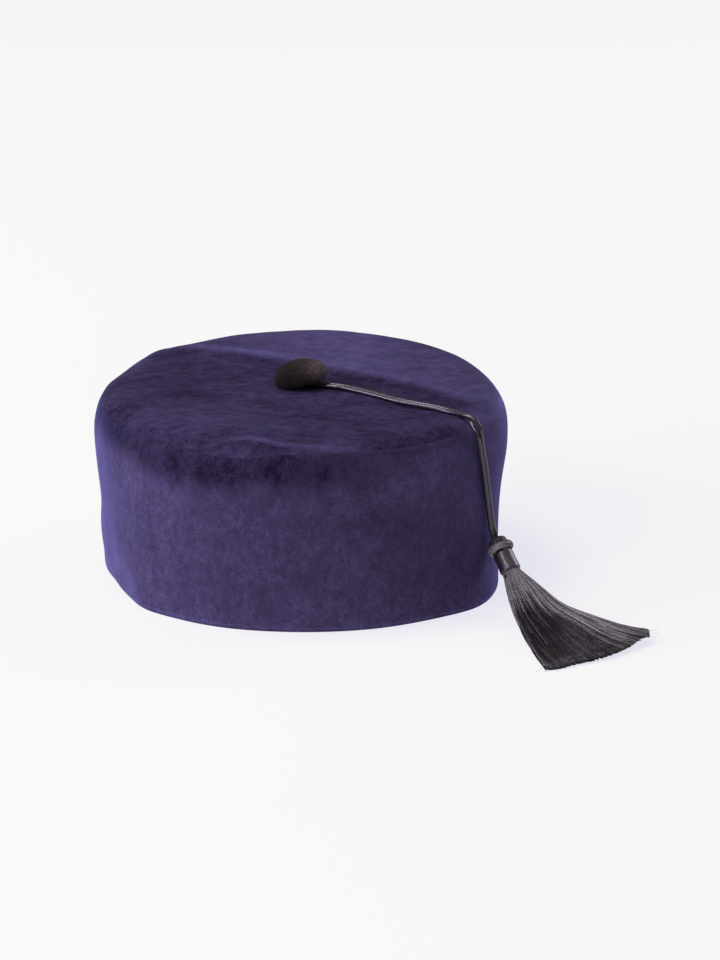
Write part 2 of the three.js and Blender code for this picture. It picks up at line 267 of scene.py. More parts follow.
def cubic(here, after, leaving, arriving, rest):
    """A curve from here to after with a slope at each end, at shares of the way."""
    square = -3 * here + 3 * after - 2 * leaving - arriving
    cube = 2 * here - 2 * after + leaving + arriving
    return here + rest * leaving + rest**2 * square + rest**3 * cube


def closed_curve(values, share):
    """A smooth closed curve through evenly spaced values, read at shares of the full turn."""
    count = len(values)
    place = (share % 1.0) * count
    first = np.floor(place).astype(int)
    before, here, after, beyond = (values[(first + k) % count] for k in (-1, 0, 1, 2))
    return cubic(here, after, (after - before) / 2, (beyond - here) / 2, (place - first)[..., None])


def curve_through(points, shares):
    """Smooth open curves at shares from 0 to 1, through points on the axis before the last."""
    points = np.asarray(points, float)
    count = points.shape[-2]
    first = 2 * points[..., :1, :] - points[..., 1:2, :]
    last = 2 * points[..., -1:, :] - points[..., -2:-1, :]
    padded = np.concatenate([first, points, last], axis=-2)
    steps = np.sqrt(np.linalg.norm(np.diff(padded, axis=-2), axis=-1))
    place = np.clip(shares, 0, 1) * (count - 1)
    index = np.minimum(place.astype(int), count - 2)
    before, here, after, beyond = (padded[..., index + k, :] for k in range(4))
    step_in, step, step_out = (steps[..., index + k, None] for k in range(3))
    leaving = (here - before) / step_in - (after - before) / (step_in + step) + (after - here) / step
    arriving = (after - here) / step - (beyond - here) / (step + step_out) + (beyond - after) / step_out
    return cubic(here, after, leaving * step, arriving * step, (place - index)[:, None])


def evenly_spaced(line, count):
    along = np.concatenate([[0], np.cumsum(np.linalg.norm(np.diff(line, axis=0), axis=1))])
    places = np.linspace(0, along[-1], count)
    return np.stack([np.interp(places, along, line[:, k]) for k in range(line.shape[1])], axis=1)


def smooth_line(points):
    return curve_through(points, np.linspace(0, 1, CURVE_STEPS))


def smooth_section(rows, count):
    """Evenly spaced radii and heights on a smooth line through rows of height and radius."""
    return evenly_spaced(smooth_line([(radius, height, 0) for height, radius in rows]), count)


def turns(count):
    return np.arange(count) * FULL_TURN / count


def ring_points(radius, turn, height):
    """Rings of points about +Z."""
    spots = np.broadcast_arrays(radius * np.cos(turn), radius * np.sin(turn), height)
    return np.stack(spots, axis=-1)


def grid_faces(rows, columns, closed_rows):
    """Faces between rings of points, each ring closed, and the last joined to the first if asked."""
    row = np.arange(rows if closed_rows else rows - 1)[:, None]
    column = np.arange(columns)[None, :]
    here = row * columns
    above = (row + 1) % rows * columns
    aside = (column + 1) % columns
    corners = [here + column, here + aside, above + aside, above + column]
    return np.stack(corners, axis=-1).reshape(-1, 4)


def tube_faces(rings, sides):
    """Faces of a tube of rings, closed by a flat face at each end."""
    last = (rings - 1) * sides
    return [*grid_faces(rings, sides, False), range(sides)[::-1], range(last, last + sides)]


def add_object(name, data):
    holder = bpy.data.objects.new(name, data)
    bpy.context.scene.collection.objects.link(holder)
    return holder


def new_piece(name, vertices, faces, *materials):
    mesh = bpy.data.meshes.new(name)
    mesh.from_pydata(np.asarray(vertices).tolist(), [], [list(map(int, face)) for face in faces])
    mesh.shade_smooth()
    for material in materials:
        mesh.materials.append(material)
    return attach(add_object(name, mesh), BODY)


def write_values(piece, name, values):
    attribute = piece.data.attributes.new(name, "FLOAT", "POINT")
    attribute.data.foreach_set("value", np.asarray(values, np.float32))


def write_face_slots(piece, slots):
    piece.data.polygons.foreach_set("material_index", np.asarray(slots, np.int32))


# Form of the soft cloth

def plan_angles(x, y):
    return np.degrees(np.arctan2(y, x))


def inside_fold(x, y):
    """Distance in front of the crest of the crown's curved fold."""
    return FOLD.radius - np.hypot(x - FOLD.x, y - FOLD.y)


def fold_drop(x, y):
    inside = inside_fold(x, y)
    sunk = ease(inside, -FOLD.roll, FOLD.roll)
    return -FOLD.drop * sunk * np.exp(-np.maximum(inside, 0) / FOLD.reach)


def settle(points, folded):
    """Moves points of the mean form to where the soft cloth really lies."""
    x, y, z = (points[..., k] for k in range(3))
    radius = np.hypot(x, y)
    degrees = plan_angles(x, y)
    hem_out, shoulder_out, seam_up = np.moveaxis(closed_curve(PLAN, degrees / 360), -1, 0)
    low = np.maximum(0, 1 - z / BULGE_HEIGHT)
    spread = np.minimum(1, radius / SEAM_RADIUS)
    push = (hem_out + humps(degrees, HEM_CORNERS)) * low + shoulder_out * (1 - low) * spread
    slump = humps(degrees, SLUMP_HUMPS) * profile(z, *SLUMP_HEIGHTS) * ease(radius, *SLUMP_RISE)
    lift = seam_up * np.minimum(1, z / SEAM_HEIGHT) * ease(radius, *SEAM_LIFT_RISE)
    wave = humps(degrees, SEAM_WAVES) * ease(z, SEAM_WAVE_FOOT, SEAM_HEIGHT)
    lift = lift + wave * ease(radius, *SEAM_WAVE_RISE)
    drop = folded * fold_drop(x, y) * ease(radius, *FOLD_FADES)
    scale = (radius + push + slump) / radius
    return np.stack([x * scale, y * scale, z + lift + drop], axis=-1)


def small_puckers():
    """Slight gathers all round the seam, as rows of degrees, half width and depth."""
    chance = np.random.default_rng(SMALL_PUCKERS.seed)
    count, astray = SMALL_PUCKERS.count, SMALL_PUCKERS.astray
    places = np.arange(count) * 360 / count + chance.uniform(-astray, astray, count)
    widths = chance.uniform(*SMALL_PUCKERS.half, count)
    depths = chance.uniform(*SMALL_PUCKERS.deep, count)
    return list(zip(places, widths, depths))


ALL_PUCKERS = PUCKERS + small_puckers()


def crease_depth(degrees, height):
    """Depth of the soft creases at a place on the band, taken as a flat strip."""
    total = 0
    for start, low, end, high, half, deep in CREASES:
        arc = math.radians(angle_between(end, start)) * HEM_RADIUS
        along = np.radians(angle_between(degrees, start)) * HEM_RADIUS
        up = height - low
        length = arc * arc + (high - low) ** 2
        share = np.clip((along * arc + up * (high - low)) / length, 0, 1)
        away = np.hypot(along - share * arc, up - share * (high - low))
        total = total + deep * bell(away, half) * arch(share, *CREASE_ARCH)
    return total


def band_waves(degrees, height):
    """Slow unevenness of the wall: three waves that cross."""
    turn = np.radians(degrees)
    wave = np.sin(3 * turn + 0.6) * np.cos(height / 0.021 + 1.1)
    wave += 0.7 * np.sin(5 * turn + 2.1) * np.cos(height / 0.014 + 0.4 + turn)
    wave += 0.4 * np.sin(11 * turn + 4.0 + height / 0.009)
    return BAND_WAVE * wave


def groove_depth(degrees):
    """The seam is sunk most at the front left, and hardly shows elsewhere."""
    return GROOVE_LEAST + humps(degrees, GROOVE_HUMPS)


def band_detail(degrees, height):
    gathers = humps(degrees, ALL_PUCKERS) * profile(height, *PUCKER_HEIGHTS)
    groove = groove_depth(degrees) * bell(height - SEAM_HEIGHT, GROOVE_HALF)
    slack = band_waves(degrees, height) - crease_depth(degrees, height)
    return window(height, *BAND_FREE) * slack - profile(height, *HEM_LINE) - gathers - groove


def crown_top(radius):
    rim = SEAM_HEIGHT + SEAM_LAP
    return CROWN_HEIGHT - (CROWN_HEIGHT - rim) * (radius / SEAM_RADIUS) ** CROWN_EDGE_POWER


def away_from(x, y, plan):
    """Distance from a smooth line of the plan, and how far along it the nearest place is, from 0 to 1."""
    shares = np.linspace(0, 1, LINE_STEPS)
    nearest = np.full(x.shape, np.inf)
    along = np.zeros(x.shape)
    for share, (at_x, at_y) in zip(shares, curve_through(plan, shares)):
        away = np.hypot(x - at_x, y - at_y)
        along = np.where(away < nearest, share, along)
        nearest = np.minimum(nearest, away)
    return nearest, along


def ridge(x, y, plan, half, high, start, span):
    """Height or light along a line of the plan, which may fade towards its ends."""
    away, along = away_from(x, y, plan)
    return high * bell(away, half) * arch(along, start, span)


def crown_detail(x, y):
    radius = np.hypot(x, y)
    degrees = plan_angles(x, y)
    waves = np.sin(x / 0.013 + 0.7) * np.cos(y / 0.017 + 0.3)
    waves += 0.6 * np.sin(x / 0.0083 - y / 0.011 + 1.9)
    gathers = humps(degrees, ALL_PUCKERS) * profile(radius, *CROWN_PUCKERS)
    groove = groove_depth(degrees) * bell(radius - SEAM_RADIUS, GROOVE_HALF)
    ridges = ridge(x, y, FRONT_RIDGE, *FRONT_RIDGE_SIZE) + ridge(x, y, SIDE_CREASE, *SIDE_CREASE_SIZE)
    return ease(radius, *CROWN_WAVE_FADES) * (ridges + CROWN_WAVE * waves) - gathers - groove


# Looks of the cloth, cord and thread

SILK_GLOSS = (0.95, 0.79, 0.96, 1)
THREE_TONES = (0.0, 0.5, 1.0)
SATIN_TONES = (0.25, 0.75)
REVERSE_TONES = (0.3, 0.7)
EVEN = (1, 1, 1)
BAND_STRETCH = (1.0, 1.0, 0.75)
CROWN_STRETCH = (0.55, 0.8, 1.0)
REVERSE_STRETCH = (1, 1, 0.25)
HUE_SCALE = 48
HUES = [(0.35, (1.0, 0.95, 0.98)), (0.65, (0.94, 0.97, 1.0))]


def add_node(owner, kind, **settings):
    node = owner.node_tree.nodes.new(kind)
    for name, value in settings.items():
        setattr(node, name, value)
    return node


def set_inputs(node, **values):
    """Sets fixed values on a node's own sockets."""
    for name, value in values.items():
        node.inputs[name.replace("_", " ").title().replace("Ior", "IOR")].default_value = value


def link(start, end):
    start.id_data.links.new(start, end)


def noise(material, scale, detail, stretch):
    """Noise in the frame of the part, with about scale marks to the metre. Returns its value socket."""
    place = add_node(material, "ShaderNodeTexCoord").outputs["Object"]
    mapping = add_node(material, "ShaderNodeMapping")
    set_inputs(mapping, scale=stretch)
    texture = add_node(material, "ShaderNodeTexNoise")
    set_inputs(texture, scale=scale, detail=detail)
    link(place, mapping.inputs["Vector"])
    link(mapping.outputs["Vector"], texture.inputs["Vector"])
    return texture.outputs["Fac"]


def changed(material, tone, mark, weight):
    """The tone plus the mark's distance from one half, times a weight."""
    centred = add_node(material, "ShaderNodeMath", operation="SUBTRACT")
    link(mark, centred.inputs[0])
    centred.inputs[1].default_value = 0.5
    added = add_node(material, "ShaderNodeMath", operation="MULTIPLY_ADD")
    link(centred.outputs[0], added.inputs[0])
    added.inputs[1].default_value = weight
    link(tone, added.inputs[2])
    return added.outputs[0]


def ramp(owner, value, stops):
    """Colours between stops of place and colour."""
    node = add_node(owner, "ShaderNodeValToRGB")
    elements = node.color_ramp.elements
    while len(elements) < len(stops):
        elements.new(1.0)
    for element, (place, colour) in zip(elements, stops):
        element.position = place
        element.color = (*colour, 1)
    link(value, node.inputs["Fac"])
    return node.outputs["Color"]


def add_bump(material, shader, height, distance, strength):
    node = add_node(material, "ShaderNodeBump")
    set_inputs(node, distance=distance, strength=strength)
    link(height, node.inputs["Height"])
    link(node.outputs["Normal"], shader.inputs["Normal"])


def tinted(material, colour, stretch):
    """The colour turned a little redder or bluer from place to place."""
    hue = ramp(material, noise(material, HUE_SCALE, 2, stretch), HUES)
    node = add_node(material, "ShaderNodeMix", data_type="RGBA", blend_type="MULTIPLY")
    set_inputs(node, factor=1.0)
    link(colour, node.inputs["A"])
    link(hue, node.inputs["B"])
    return node.outputs["Result"]


def first_tone(material, lie):
    """The tone from an attribute of the piece, or one half."""
    if lie:
        return add_node(material, "ShaderNodeAttribute", attribute_name=lie).outputs["Fac"]
    level = add_node(material, "ShaderNodeValue").outputs[0]
    level.default_value = 0.5
    return level


def look(name, marks, colours, tones=THREE_TONES, lie=None, relief=None, hue=None, **gloss):
    """A material whose tone is changed by marks of noise, of which the last may stand out."""
    material = bpy.data.materials.new(name)
    material.use_nodes = True
    shader = material.node_tree.nodes["Principled BSDF"]
    set_inputs(shader, **gloss)
    tone = first_tone(material, lie)
    for scale, detail, stretch, weight in marks:
        mark = noise(material, scale, detail, stretch)
        tone = changed(material, tone, mark, weight)
    colour = ramp(material, tone, list(zip(tones, colours)))
    if hue:
        colour = tinted(material, colour, hue)
    link(colour, shader.inputs["Base Color"])
    if relief:
        add_bump(material, shader, mark, *relief)
    return material


def velvet(name, stretch, patching, mottling, colours, **sheen):
    """Silk velvet, toned by an attribute that holds the lie of the pile together with painted sheen,
    highlights and shade, from 0, dark, to 1, light.
    """
    marks = [
        # scale, detail, stretch, weight
        (26, 3, EVEN, patching),
        (110, 2, stretch, 0.24 * mottling),
        (360, 2, stretch, 0.34 * mottling),
        (1300, 1, EVEN, 0.42),
    ]
    return look(
        name, marks, colours, lie="pile_and_painted_light", relief=(0.0004, 0.5), hue=stretch,
        roughness=0.9, specular_ior_level=0.05, sheen_roughness=0.36, **sheen,
    )


def velvet_reverse():
    """The plain woven reverse of the velvet."""
    return look(
        "velvet_reverse", [(900, 1, REVERSE_STRETCH, 1.0)], [(0.012, 0.010, 0.024), (0.030, 0.025, 0.055)],
        REVERSE_TONES, relief=(0.0003, 0.6), roughness=0.9, specular_ior_level=0.2,
    )


def button_cloth():
    """Black velvet whose pile leans one way, with painted sheen that makes one side of the button lighter.
    """
    return look(
        "button_cloth", [(160, 2, EVEN, 0.5), (560, 2, EVEN, 0.7), (1500, 2, EVEN, 0.5)],
        [(0.005, 0.003, 0.003), (0.022, 0.0135, 0.0155), (0.086, 0.064, 0.076)],
        lie="pile_and_painted_light", relief=(0.0004, 0.7), roughness=0.9, specular_ior_level=0.10,
        sheen_weight=0.20, sheen_roughness=0.4, sheen_tint=(0.14, 0.095, 0.115, 1),
    )


def satin(name, colours, relief, lie=None, **gloss):
    """Wound or twisted silk, which an attribute may make darker or lighter."""
    marks = [(120, 2, EVEN, 0.8), (1400, 2, EVEN, 1.0)]
    return look(
        name, marks, colours, SATIN_TONES, lie, relief=(0.0002, relief), specular_tint=SILK_GLOSS, **gloss
    )


def thread_silk():
    """Silk threads: the attribute shade holds their own tones together with painted highlights and painted
    shade, from 0, dark, to 1, light.
    """
    return look(
        "thread_silk", [(90, 2, EVEN, 0.4), (1000, 2, EVEN, 0.7)],
        [(0.0062, 0.0037, 0.0041), (0.057, 0.045, 0.0515), (0.302, 0.268, 0.304)],
        lie="shade", roughness=0.34, specular_ior_level=0.4, specular_tint=SILK_GLOSS,
    )


# Cap: side band and crown

def with_edge_ring(rows):
    """Adds a ring close to the last one, so that the smooth shading stays true up to the seam."""
    close = rows[-1] + (rows[-2] - rows[-1]) * EDGE_RING_SHARE
    return np.concatenate([rows[:-1], close[None], rows[-1:]])


def band_section():
    """Rings of the wall's closed section: up the outside, over the top and down the inside."""
    rows = np.array([(radius, height, 0) for height, radius in BAND_ROWS])
    outside = smooth_line(rows)
    hem, wall, shoulder = np.split(outside, np.searchsorted(outside[:, 1], BAND_SPLITS))
    fine = np.concatenate([
        evenly_spaced(hem, HEM_RINGS),
        evenly_spaced(wall, WALL_RINGS),
        with_edge_ring(evenly_spaced(shoulder, SHOULDER_RINGS)),
    ])
    inside = smooth_line(rows[2:] - np.array([WALL, 0, 0]))
    inside = evenly_spaced(inside, INNER_RINGS)[::-1]
    foot = np.array([[HEM_RADIUS - WALL, 0, 0]])
    return np.concatenate([fine, inside, foot]), len(fine)


def arc_share(degrees, at, rise, fall):
    """1 in an arc round the cap and 0 outside it, with soft ends."""
    return window(angle_between(degrees, at), rise, fall)


def seam_pile_and_shading(degrees):
    """Lie of the pile along the seam: laid down and dark from the left side round to the front, which is
    partly painted shade, with painted sheen on the right.
    """
    brushed_and_shaded = BRUSHED_SHADED_DARKER * arc_share(degrees, *BRUSHED_SHADED_ARC)
    return SEAM_NAP - brushed_and_shaded + humps(degrees, SEAM_PILE_AND_SHEEN_HUMPS)


def band_pile_and_shading(degrees, height):
    """Lie of the pile on the band, whose dark cloth along the seam has a ragged lower edge, with painted
    shade on the right of the wall, in the gathers and along the hem's foot, and a painted highlight on the
    hem's edge.
    """
    turn = np.radians(degrees)
    gathers = humps(degrees, ALL_PUCKERS)
    ragged = sum(size * np.sin(count * turn + phase) for count, phase, size in BRUSHED_SHADED_FOOT_WAVES)
    foot = profile(angle_between(degrees, BRUSHED_SHADED_ARC[0]), *BRUSHED_SHADED_FOOT) + ragged
    near_seam = ease(height - foot + BRUSHED_SHADED_FOOT_GATHERS * gathers, *BRUSHED_SHADED_SOFT)
    wall = WALL_NAP + humps(degrees, WALL_SHADE_HUMPS)
    under_rim = humps(degrees, UNDER_RIM_HUMPS) * ease(height, *UNDER_RIM_RISE)
    rim = arc_share(degrees, *RIM_ARC) * profile(height, *RIM_BAND)
    low = profile(height, *HEM_HIGHLIGHT_AND_SHADOW) - gathers * profile(height, *PUCKER_SHADE)
    return wall + (seam_pile_and_shading(degrees) - wall) * near_seam + under_rim + rim + low


def make_band(outer_cloth, inner_cloth):
    section, outer_count = band_section()
    radius, height = section[:, 0:1], section[:, 1:2]
    turn = turns(AROUND)
    degrees = np.degrees(turn)
    points = settle(ring_points(radius + band_detail(degrees, height), turn, height), folded=0)
    faces = grid_faces(len(section), AROUND, True)
    piece = new_piece("band_velvet", points.reshape(-1, 3), faces, outer_cloth, inner_cloth)
    write_face_slots(piece, np.repeat(np.arange(len(section)) >= outer_count, AROUND))
    write_values(piece, "pile_and_painted_light", band_pile_and_shading(degrees, height).ravel())
    return piece


def crown_section():
    """Rings of the crown: from the middle of its top out to its edge and back below."""
    flat = np.linspace(MIDDLE_RADIUS, FLAT_RADIUS, FLAT_RINGS)
    edge = np.linspace(EDGE_START, SEAM_RADIUS, EDGE_RINGS)
    radii = np.concatenate([flat, edge])
    top = with_edge_ring(np.stack([radii, crown_top(radii)], axis=1))
    under_radii = np.linspace(SEAM_RADIUS - UNDER_INSET, MIDDLE_RADIUS, UNDER_RINGS)
    rim_low = SEAM_HEIGHT + SEAM_LAP - UNDER_GAP
    under = np.stack([under_radii, np.maximum(crown_top(under_radii) - WALL, rim_low)], axis=1)
    return np.concatenate([top, under]), len(top)


def fold_painted_light(x, y):
    """Painted light at the fold: a highlight on its crest, sheen behind it and shade in the valley before
    it.
    """
    inside = inside_fold(x, y)
    crest = profile(x, *CREST_HIGHLIGHT) * profile(inside, *CREST_LINE)
    valley = profile(x, *VALLEY_SHADE) * ease(inside, *VALLEY_RISE)
    valley = valley * np.exp(-np.maximum(inside, 0) / VALLEY_REACH)
    behind = profile(x, *BEHIND_SHEEN) * profile(x, *BEHIND_FADE) * ease(inside, *BEHIND_RISE)
    return (crest - valley) * ease(np.hypot(x, y), *FOLD_FADES) + behind


# Lie of the pile on the crown together with painted light: the fold's highlight, sheen and shade, and
# painted highlights along the front ridge and the side crease
def crown_pile_and_shading(x, y):
    radius = np.hypot(x, y)
    degrees = plan_angles(x, y)
    rim = arc_share(degrees, *RIM_ARC)
    top = CROWN_NAP + fold_painted_light(x, y)
    edge = seam_pile_and_shading(degrees) * profile(radius, *CROWN_EDGE_NAP) * (1 - RIM_EDGE * rim)
    pile_and_painted_light = top + (edge - top) * ease(radius, *CROWN_TURNS) - rim * profile(radius, *RIM_LINE)
    pile_and_painted_light = pile_and_painted_light + ridge(x, y, FRONT_RIDGE, *FRONT_RIDGE_HIGHLIGHT) + ridge(x, y, SIDE_CREASE, *SIDE_CREASE_HIGHLIGHT)
    for at_x, at_y, half_x, half_y, lighter in CROWN_PATCHES:
        pile_and_painted_light = pile_and_painted_light + lighter * bell(np.hypot((x - at_x) / half_x, (y - at_y) / half_y), 1)
    return pile_and_painted_light


def make_crown(outer_cloth, inner_cloth):
    section, outer_count = crown_section()
    points = ring_points(section[:, 0:1], turns(AROUND), section[:, 1:2])
    points[..., 2] += crown_detail(points[..., 0], points[..., 1])
    lifted = settle(points, folded=1)
    rings = lifted.reshape(-1, 3)
    vertices = np.concatenate([rings, lifted[[0, -1]].mean(axis=1)])
    sides = grid_faces(len(section), AROUND, False)[:, ::-1]
    column = np.arange(AROUND)
    aside = (column + 1) % AROUND
    last = (len(section) - 1) * AROUND
    fan_top = np.stack([column, aside, np.full(AROUND, len(rings))], axis=1)
    fan_under = np.stack([last + aside, last + column, np.full(AROUND, len(rings) + 1)], axis=1)
    faces = [*sides, *fan_top, *fan_under]
    piece = new_piece("crown_velvet", vertices, faces, outer_cloth, inner_cloth)
    rows_inside = np.repeat(np.arange(len(section) - 1) >= outer_count - 1, AROUND)
    write_face_slots(piece, np.concatenate([rows_inside, np.zeros(AROUND), np.ones(AROUND)]))
    write_values(piece, "pile_and_painted_light", crown_pile_and_shading(vertices[:, 0], vertices[:, 1]))
    return piece


# Covered button

BUTTON_PLACE = Vector((0.0011, 0.0020, 0.0888))
BUTTON_TILT = math.radians(-11)
BUTTON_ROWS = [
    # height, radius
    (-0.0015, 0.0025),
    (-0.0003, 0.0025),
    (0.0, 0.0030),
    (0.0, 0.0106),
    (0.0009, 0.0122),
    (0.0026, 0.0126),
    (0.0048, 0.0121),
    (0.0070, 0.0104),
    (0.0088, 0.0074),
    (0.0099, 0.0039),
    (0.0102, 0.0003),
]
BUTTON_RINGS = 90
BUTTON_AROUND = 120
BUTTON_GATHERS = 30
BUTTON_GATHER = (0, [], [(0.0004, 0.0012, 0.00022)])
BUTTON_GATHER_RISE = (0.006, 0.012)
BUTTON_OVAL = (0, [(0.002, 0.010, 0.00018)])
BUTTON_OVAL_TURN = 0.8
# The right of the button is painted lighter, partly from the lie of its pile and partly as painted sheen
BUTTON_PILE_AND_SHEEN = (0.02, [(-0.006, 0.012, 0.86)])


def make_button(cloth):
    """A domed button, gathered round its rim and a little out of round, with painted sheen that makes its
    right side lighter.
    """
    section = smooth_section(BUTTON_ROWS, BUTTON_RINGS)
    radius, height = section[:, 0:1], section[:, 1:2]
    turn = turns(BUTTON_AROUND)
    gather = profile(height, *BUTTON_GATHER) * ease(radius, *BUTTON_GATHER_RISE)
    gather = gather * np.cos(BUTTON_GATHERS * turn)
    oval = profile(radius, *BUTTON_OVAL) * np.sin(2 * turn + BUTTON_OVAL_TURN)
    points = ring_points(radius + gather + oval, turn, height)
    tilt = np.array(Matrix.Rotation(BUTTON_TILT, 3, "Y"))
    placed = points.reshape(-1, 3) @ tilt.T + np.array(BUTTON_PLACE)
    piece = new_piece("button_cover", placed, tube_faces(len(section), BUTTON_AROUND), cloth)
    write_values(piece, "pile_and_painted_light", profile(points[..., 0], *BUTTON_PILE_AND_SHEEN).ravel())
    return piece


# Doubled cord

CORD_DIAMETER = 0.002
CORD_HALF_SPACING = 0.00122
CORD_SIDES = 18
CORD_STEPS = 4000
CORD_RINGS = 620
CORD_PLIES = 3
CORD_PITCH = 0.0042
CORD_RELIEF = 0.025
CORD_ROUTE = [
    # x, y, z, bearing of the first strand, roll of the pair, lean of the roll out from upright
    (0.0046, 0.0016, 0.0877, 66, 0, 0),
    (0.0085, 0.0006, 0.0877, 66, 0, 0),
    (0.0130, -0.0006, 0.0876, 66, 0, 0),
    (0.0200, -0.0032, 0.0876, 62, 0, 0),
    (0.0280, -0.0086, 0.0875, 57, 0, 0),
    (0.0360, -0.0150, 0.0874, 54, 0, 0),
    (0.0420, -0.0202, 0.0873, 54, 0, 0),
    (0.0470, -0.0241, 0.0872, 56, 0, 0),
    (0.0524, -0.0275, 0.0870, 59, 0, 0),
    (0.0580, -0.0304, 0.0868, 60, 0, 0),
    (0.0636, -0.0331, 0.0865, 59, 0, 0),
    (0.0686, -0.0364, 0.0863, 56, 0, 0),
    (0.0724, -0.0402, 0.0864, 55, -8, 8),
    (0.0754, -0.0442, 0.0865, 55, -32, 16),
    (0.0779, -0.0476, 0.0863, 56, -64, 26),
    (0.0802, -0.0503, 0.0851, 57, -100, 40),
    (0.0820, -0.0522, 0.0825, 58, -138, 56),
    (0.0830, -0.0530, 0.0790, 58, -168, 72),
    (0.0836, -0.0526, 0.0754, 58, -180, 80),
    (0.0842, -0.0518, 0.0710, 58, -180, 90),
    (0.0852, -0.0510, 0.0650, 58, -180, 90),
    (0.0862, -0.0505, 0.0575, 58, -180, 90),
    (0.0871, -0.0502, 0.0500, 58, -180, 90),
    (0.0880, -0.0500, 0.0430, 58, -180, 90),
    (0.0888, -0.0500, 0.0370, 58, -180, 90),
    (0.0895, -0.0502, 0.0326, 56, -180, 90),
    (0.0906, -0.0511, 0.0290, 52, -180, 90),
    (0.0924, -0.0540, 0.0253, 46, -180, 90),
    (0.0946, -0.0574, 0.0209, 40, -180, 90),
    (0.0968, -0.0608, 0.0165, 34, -180, 90),
    (0.0988, -0.0644, 0.0126, 30, -180, 90),
    (0.1010, -0.0698, 0.0094, 26, -180, 90),
    (0.1034, -0.0768, 0.0074, 22, -180, 90),
    (0.1060, -0.0850, 0.0062, 20, -180, 90),
    (0.1086, -0.0930, 0.0056, 20, -180, 90),
]


def strand_line(sign):
    """Middle line of one strand, which lies beside the middle of the pair and turns about it."""
    route = np.array(CORD_ROUTE)
    bearing, roll, lean = np.radians(route[:, 3:]).T
    out = route[:, :2] / np.linalg.norm(route[:, :2], axis=1)[:, None] * np.sin(lean)[:, None]
    over = np.concatenate([out, np.cos(lean)[:, None]], axis=1)
    aside = np.stack([np.cos(bearing), np.sin(bearing), np.zeros_like(bearing)], axis=1)
    turned = aside * np.cos(roll)[:, None] + over * np.sin(roll)[:, None]
    points = route[:, :3] + sign * CORD_HALF_SPACING * turned
    return evenly_spaced(curve_through(points, np.linspace(0, 1, CORD_STEPS)), CORD_RINGS)


def carried_frames(line):
    """Two directions across a line at each of its points, carried along it without twisting."""
    ways = np.gradient(line, axis=0)
    ways /= np.linalg.norm(ways, axis=1)[:, None]
    side = np.cross(ways[0], UP)
    sides = []
    for way in ways:
        side = side - (side @ way) * way
        side = side / np.linalg.norm(side)
        sides.append(side)
    sides = np.array(sides)
    return sides, np.cross(ways, sides)


def make_strand(name, sign, material):
    line = strand_line(sign)
    side, over = carried_frames(line)
    length = np.linalg.norm(np.diff(line, axis=0), axis=1).sum()
    along = np.linspace(0, length, CORD_RINGS)[:, None]
    turn = turns(CORD_SIDES)
    twist = CORD_PLIES * turn - along * FULL_TURN / CORD_PITCH
    radius = CORD_DIAMETER / 2 * (1 - CORD_RELIEF / 2 + CORD_RELIEF / 2 * np.cos(twist))
    across = np.cos(turn)[:, None] * side[:, None] + np.sin(turn)[:, None] * over[:, None]
    points = (line[:, None] + radius[..., None] * across).reshape(-1, 3)
    piece = new_piece(name, points, tube_faces(CORD_RINGS, CORD_SIDES), material)
    return piece, line, float(length)


# Tassel

TASSEL_TOP = Vector((0.0910, -0.0511, 0.0290))
TASSEL_WAY = Vector((0.400, -0.571, -0.736)).normalized()
TASSEL_AROUND = 96
DOME_ROWS = [
    # height from the top, radius
    (-0.0062, 0.0040),
    (-0.0034, 0.0043),
    (-0.0018, 0.0044),
    (-0.0007, 0.0039),
    (-0.0001, 0.0030),
    (-0.0002, 0.0021),
]
DOME_RINGS = 40
DOME_THREADS = Values(count=32, size=0.00009, twist=1.5)
DOME_SHADE = 0.35
COLLAR = Values(below=0.0052, inner=0.0043, outer=0.0062, height=0.0034)
COLLAR_RINGS = 28
COLLAR_RIDGES = Values(count=30, size=0.00011, twist=9)
# Painted light on the ring: lighter on the left and darker on the right
COLLAR_LIGHT_AND_SHADE = Values(middle=0.44, right=-0.55)
NECK_ROWS = [
    # height from the top, radius
    (-0.0170, 0.0043),
    (-0.0170, 0.0047),
    (-0.0166, 0.0049),
    (-0.0120, 0.0047),
    (-0.0082, 0.0047),
    (-0.0075, 0.0045),
    (-0.0074, 0.0042),
]
NECK_RINGS = 150
NECK_PITCH = 0.00055
NECK_RELIEF = 0.00001
NECK_BORE = 0.0040
NECK_JOIN = Values(below=0.0150, share=0.12, reach=0.076)
SKIRT_ROWS = [
    # left edge, right edge, hump, rest, raised, half width of a lock
    ((0.0946, -0.0613, 0.0174), (0.1002, -0.0604, 0.0191), 0.0010, 0.0110, 0.0, 0.0020),
    ((0.0984, -0.0760, 0.0068), (0.1108, -0.0774, 0.0150), 0.0040, 0.0015, 0.0056, 0.0020),
    ((0.1022, -0.1020, 0.0038), (0.1212, -0.0956, 0.0126), 0.0030, 0.0006, 0.0046, 0.0022),
    ((0.1064, -0.1240, 0.0029), (0.1378, -0.1070, 0.0104), 0.0014, 0.0004, 0.0034, 0.0026),
    ((0.1118, -0.1436, 0.0019), (0.1586, -0.1090, 0.0060), 0.0, 0.0003, 0.0026, 0.0028),
]
SKIRT_ROUNDING = np.array([0.0025, -0.0058, 0.0])
SKIRT_CORNER = np.array([0.0022, -0.0022, 0.0])
SKIRT_CORNER_WIDTH = 0.16
SKIRT_THINNING = (1, [(0.65, 1.0, -0.5)])
SKIRT_TIP_THINNING = Values(share=0.6, across=(0.72, 1.0), along=(0.55, 1.0))
SKIRT_EDGE = 0.05
LEAST_LOCK_HEIGHT = 0.0016
CORE = Values(depth=0.72, along=0.985, rings=30, across=(0.02, 0.98), sides=26, shade=0.1)
CORE_FLOOR_GAP = 0.0004
THREAD_FLOOR_GAP = 0.0001
THREAD_RADIUS = 0.00019
THREAD_SIDES = 3
THREAD_POINTS = 15
